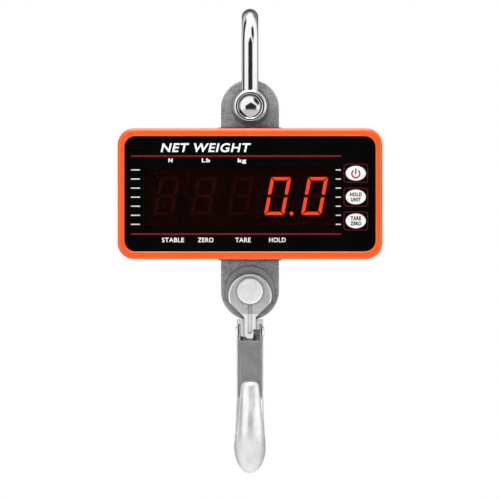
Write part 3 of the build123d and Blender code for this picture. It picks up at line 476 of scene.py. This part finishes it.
# ---- panel print ----------------------------------------------------------------------------
TITLE = (-60.7, 0.0, 31.7, 6.2)  # left, right, height above the middle of the case, cap
RED_LINES = (26.0, -27.6)
LINE_X = (-81.7, 62.6)
LINE_T = 1.0
UNITS_DZ = 23.0
KG_DZ = 22.5  # lower, because of the tail of its g
STATUS_DZ = -31.7
STATUS_CAP = 3.2
LEFT_BARS = (-81.8, -75.6)
RIGHT_BARS = (58.9, 62.4)
BAR_TOP = 16.4
BAR_PITCH = 6.23
BAR_T = 0.8
BARS = 7
KEY_FRAME = (16.8, 13.0, 2.2, 0.55)  # width, height, corner radius, line
KEY_ROW_DZ = 1.8  # the two words on a key, above and below its middle
KEY_CAP = 2.8
KEY_CENTRES = {name: middle(f"{name}_key") for name in ("power", "hold", "tare")}

lettering("title", "NET WEIGHT", (TITLE[0] + TITLE[1]) / 2 * MM, CASE_Z + TITLE[2] * MM,
          TITLE[3] * MM, (TITLE[1] - TITLE[0]) * MM, PANEL_FACE, ink_white,
          slant=0.22, bold=0.022, spread=1.12)
for text, x, width, dz, tall in (("N", -54.6, 2.8, UNITS_DZ, 2.8),
                                 ("Lb", -30.3, 5.6, UNITS_DZ, 2.8),
                                 ("kg", -5.5, 5.8, KG_DZ, 3.7)):
    lettering(f"unit_{text.lower()}", text, x * MM, CASE_Z + dz * MM, tall * MM,
              width * MM, PANEL_FACE, ink_white, bold=0.03, spread=1.15)
for text, x, width in (("STABLE", -52.9, 15.2), ("ZERO", -30.5, 10.8),
                       ("TARE", -4.8, 10.6), ("HOLD", 18.8, 11.4)):
    lettering(f"status_{text.lower()}", text, x * MM, CASE_Z + STATUS_DZ * MM, STATUS_CAP * MM,
              width * MM, PANEL_FACE, ink_white)
printed("red_lines", [bar(LINE_X[0] * MM, LINE_X[1] * MM, CASE_Z + (dz - LINE_T / 2) * MM,
                          CASE_Z + (dz + LINE_T / 2) * MM) for dz in RED_LINES],
        PANEL_FACE, ink_red)
bars = []
for ends in (LEFT_BARS, RIGHT_BARS):
    for row in range(BARS):
        z = CASE_Z + (BAR_TOP - BAR_PITCH * row) * MM
        bars.append(bar(ends[0] * MM, ends[1] * MM, z - BAR_T / 2 * MM, z + BAR_T / 2 * MM))
printed("scale_bars", bars, PANEL_FACE, ink_pale)
printed("key_frames", [frame_line(p.x, p.z, *(size * MM for size in KEY_FRAME))
                       for p in KEY_CENTRES.values()], PANEL_FACE, ink_wine)

# ---- key symbols ------------------------------------------------------------------------------
RING_RADII = (3.25, 2.25)
RING_DROP = 0.3
RING_GAP = 34  # half of the gap at the top, in degrees
RING_POINTS = 40
STEM_HALF = 0.5
STEM_Z = (-0.7, 3.4)
power = KEY_CENTRES["power"]
turns = [radians(RING_GAP + (360 - 2 * RING_GAP) * step / RING_POINTS)
         for step in range(RING_POINTS + 1)]
outer, inner = ([(power.x + radius * MM * sin(t), power.z + (radius * cos(t) - RING_DROP) * MM)
                 for t in turns] for radius in RING_RADII)
ring = outer + list(reversed(inner))
stem = bar(power.x - STEM_HALF * MM, power.x + STEM_HALF * MM,
           power.z + STEM_Z[0] * MM, power.z + STEM_Z[1] * MM)
printed("power_mark", [ring, stem], KEY_FACE, ink_mark, "power_key")
for key, row, text, width in (("hold", 1, "HOLD", 8.2), ("hold", -1, "UNIT", 6.9),
                              ("tare", 1, "TARE", 7.2), ("tare", -1, "ZERO", 7.6)):
    centre = KEY_CENTRES[key]
    lettering(f"{key}_mark_{text.lower()}", text, centre.x, centre.z + row * KEY_ROW_DZ * MM,
              KEY_CAP * MM, width * MM, KEY_FACE, ink_black, f"{key}_key",
              bold=0.06, spread=1.2)

# ---- display segments -------------------------------------------------------------------------
DIGIT_W = 13.8
DIGIT_H = 26.0
SEG_H = 2.15  # horizontal segments
SEG_V = 2.35  # vertical segments
GAP = 0.55
SLANT = tan(radians(10.7))
POINT_D = 2.6
POINT_AT = (9.5, -12.0)  # from the middle of the digit before it
SEG_LIFT = 0.05 * MM  # thickness of the segments
FILM_T = 0.12 * MM
LENS_GAP = 0.08 * MM  # from the lens to the back of the segments


def segments(centre, letters):
    """Outlines of the named segments of one digit, in metres."""
    w, h = DIGIT_W / 2, DIGIT_H / 2
    mid = SEG_H / 2
    shapes = {
        "a": [(-w + GAP, h), (w - GAP, h), (w - SEG_V - GAP, h - SEG_H),
              (-w + SEG_V + GAP, h - SEG_H)],
        "d": [(-w + GAP, -h), (w - GAP, -h), (w - SEG_V - GAP, -h + SEG_H),
              (-w + SEG_V + GAP, -h + SEG_H)],
        "g": [(-w + GAP + 0.8, 0), (-w + SEG_V + 0.2, mid), (w - SEG_V - 0.2, mid),
              (w - GAP - 0.8, 0), (w - SEG_V - 0.2, -mid), (-w + SEG_V + 0.2, -mid)],
    }
    upper = [(w, h - GAP - 0.4), (w, GAP + 0.7), (w - 0.9, GAP + 0.2), (w - SEG_V, mid + GAP),
             (w - SEG_V, h - SEG_H - GAP - 0.2), (w - 0.3, h - GAP - 0.2)]
    shapes["b"] = upper
    shapes["c"] = [(x, -z) for x, z in upper]
    shapes["f"] = [(-x, z) for x, z in upper]
    shapes["e"] = [(-x, -z) for x, z in upper]
    return [[(centre.x + (x + z * SLANT) * MM, centre.z + z * MM) for x, z in shapes[s]]
            for s in letters]


def point(centre):
    return [(centre.x + (POINT_AT[0] + POINT_D / 2 * cos(radians(t))) * MM,
             centre.z + (POINT_AT[1] + POINT_D / 2 * sin(radians(t))) * MM)
            for t in range(0, 360, 15)]


LENS_LOW, LENS_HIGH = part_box("display_lens")
SEG_FACE = LENS_HIGH.y + LENS_GAP  # back of the segments, front of the dark film
printed("display_film", [bar(LENS_LOW.x, LENS_HIGH.x, LENS_LOW.z, LENS_HIGH.z)],
        SEG_FACE + FILM_T, display_dark, thickness=FILM_T)

shown = {4: "abcdef", 5: "abcdef"}  # a nought in each of the last two places
POINT_PLACE = 4
for place, centre in enumerate(DIGITS, 1):
    lit = shown.get(place, "")
    dark = [s for s in "abcdefg" if s not in lit]
    dark_shapes = segments(centre, dark)
    lit_shapes = segments(centre, lit)
    if place == POINT_PLACE:
        lit_shapes.append(point(centre))
    printed(f"segments_dark_{place}", dark_shapes, SEG_FACE, segment_dark,
            thickness=SEG_LIFT)
    if lit_shapes:
        printed(f"segments_lit_{place}", lit_shapes, SEG_FACE, segment_lit,
                thickness=SEG_LIFT)

# ---- studio -----------------------------------------------------------------------------------
FLOOR_Z = -0.75
floor_mesh = bpy.data.meshes.new("floor")
work = bmesh.new()
bmesh.ops.create_grid(work, x_segments=8, y_segments=8, size=4.0)
work.to_mesh(floor_mesh)
work.free()
floor = bpy.data.objects.new("floor", floor_mesh)
floor.location = (0, 0, FLOOR_Z)
bpy.context.scene.collection.objects.link(floor)
floor_mesh.materials.append(surface(
    "studio_floor", (0.93, 0.93, 0.93), (0.91, 0.91, 0.91), 0.0, 3, rough=(0.6, 0.75),
    grain_scale=80, grain=0.05, emission=((1.0, 1.0, 1.0), 0.25)))
floor.visible_glossy = False

# azimuth from the camera's side towards +X, in degrees, and brightness there
STUDIO = [
    (-180, 0.08), (-155, 0.15), (-134, 0.62), (-118, 0.70), (-112, 0.02), (-86, 0.02),
    (-78, 1.10), (-25, 1.10), (25, 1.05), (72, 1.15), (112, 1.10), (128, 0.30), (180, 0.08),
]
CARD = 0.025  # brightness of the two dark cards
CARD_BLUR = 0.05  # radians either side of a card's edge
CEILING_FROM = (0.72, 0.92)  # heights of a direction, as the sine above the horizon
BELOW_FROM = (-0.24, -0.40)
FRONT_CARD = {"middle": 5, "low": 30, "high": -6, "from": 0.03, "to": 0.42}
RIGHT_CARD = {"middle": 43, "low": -5, "high": 20, "from": -0.02, "to": 0.42}
CEILING = (1.25, 1.25, 1.27)
BELOW = (0.66, 0.66, 0.67)
world = bpy.data.worlds.new("studio")
bpy.context.scene.world = world
world.use_nodes = True
tree = world.node_tree
tree.nodes.clear()
direction = tree.nodes.new("ShaderNodeTexCoord").outputs["Generated"]
parts = tree.nodes.new("ShaderNodeSeparateXYZ")
tree.links.new(direction, parts.inputs[0])
height = parts.outputs["Z"]
azimuth = maths(tree, "ARCTAN2", parts.outputs["X"],
               maths(tree, "MULTIPLY", parts.outputs["Y"], -1.0))
studio = tree.nodes.new("ShaderNodeValToRGB")
stops = studio.color_ramp.elements
stops[0].color = (STUDIO[0][1],) * 3 + (1,)
stops[1].color = (STUDIO[-1][1],) * 3 + (1,)
for angle, light in STUDIO[1:-1]:
    stops.new((angle + 180) / 360).color = (light, light, light, 1)
tree.links.new(ramp(tree, azimuth, -pi, pi), studio.inputs["Fac"])


def dark_card(card):
    """1 inside a card whose half width changes with height, 0 outside."""
    half = ramp(tree, height, card["from"], card["to"], radians(card["low"]),
                radians(card["high"]))
    away = maths(tree, "ABSOLUTE", maths(tree, "SUBTRACT", azimuth, radians(card["middle"])))
    return ramp(tree, maths(tree, "SUBTRACT", half, away), -CARD_BLUR, CARD_BLUR)


cards = maths(tree, "MAXIMUM", dark_card(FRONT_CARD), dark_card(RIGHT_CARD))
sides = mix(tree, cards, studio.outputs["Color"], (CARD, CARD, CARD))
lifted = mix(tree, ramp(tree, height, *CEILING_FROM), sides, CEILING)
lit = mix(tree, ramp(tree, height, *BELOW_FROM), lifted, BELOW)
seen = tree.nodes.new("ShaderNodeLightPath").outputs["Is Camera Ray"]
final = mix(tree, seen, lit, (1.0, 1.0, 1.0))
back = tree.nodes.new("ShaderNodeBackground")
tree.links.new(final, back.inputs["Color"])
output = tree.nodes.new("ShaderNodeOutputWorld")
tree.links.new(back.outputs["Background"], output.inputs["Surface"])

CENTRE = Vector((0, 0, CASE_Z))
for name, place, size, power_w in (
    ("key_light", (-1.3, -2.2, 1.3), 1.2, 12.0),
    ("top_light", (0.0, -0.25, 1.5), 1.1, 30.0),
    ("back_light", (0.6, 2.2, 1.2), 1.4, 18.0),
):
    lamp = bpy.data.lights.new(name, "AREA")
    lamp.size = size
    lamp.energy = power_w
    holder = bpy.data.objects.new(name, lamp)
    holder.location = place
    holder.rotation_euler = (CENTRE - Vector(place)).to_track_quat("-Z", "Y").to_euler()
    bpy.context.scene.collection.objects.link(holder)
    holder.visible_glossy = name == "top_light"

VIEW_Z = -0.1549  # height of the middle of the picture
VIEW_AWAY = 7.667
camera = bpy.data.cameras.new("camera")
camera.lens = 800  # nearly no perspective, as from far away
camera.sensor_width = 36
camera.clip_end = 100
view = bpy.data.objects.new("camera", camera)
view.location = (0, -VIEW_AWAY, VIEW_Z)
view.rotation_euler = (pi / 2, 0, 0)
bpy.context.scene.collection.objects.link(view)
bpy.context.scene.camera = view
bpy.context.scene.view_settings.view_transform = "Standard"
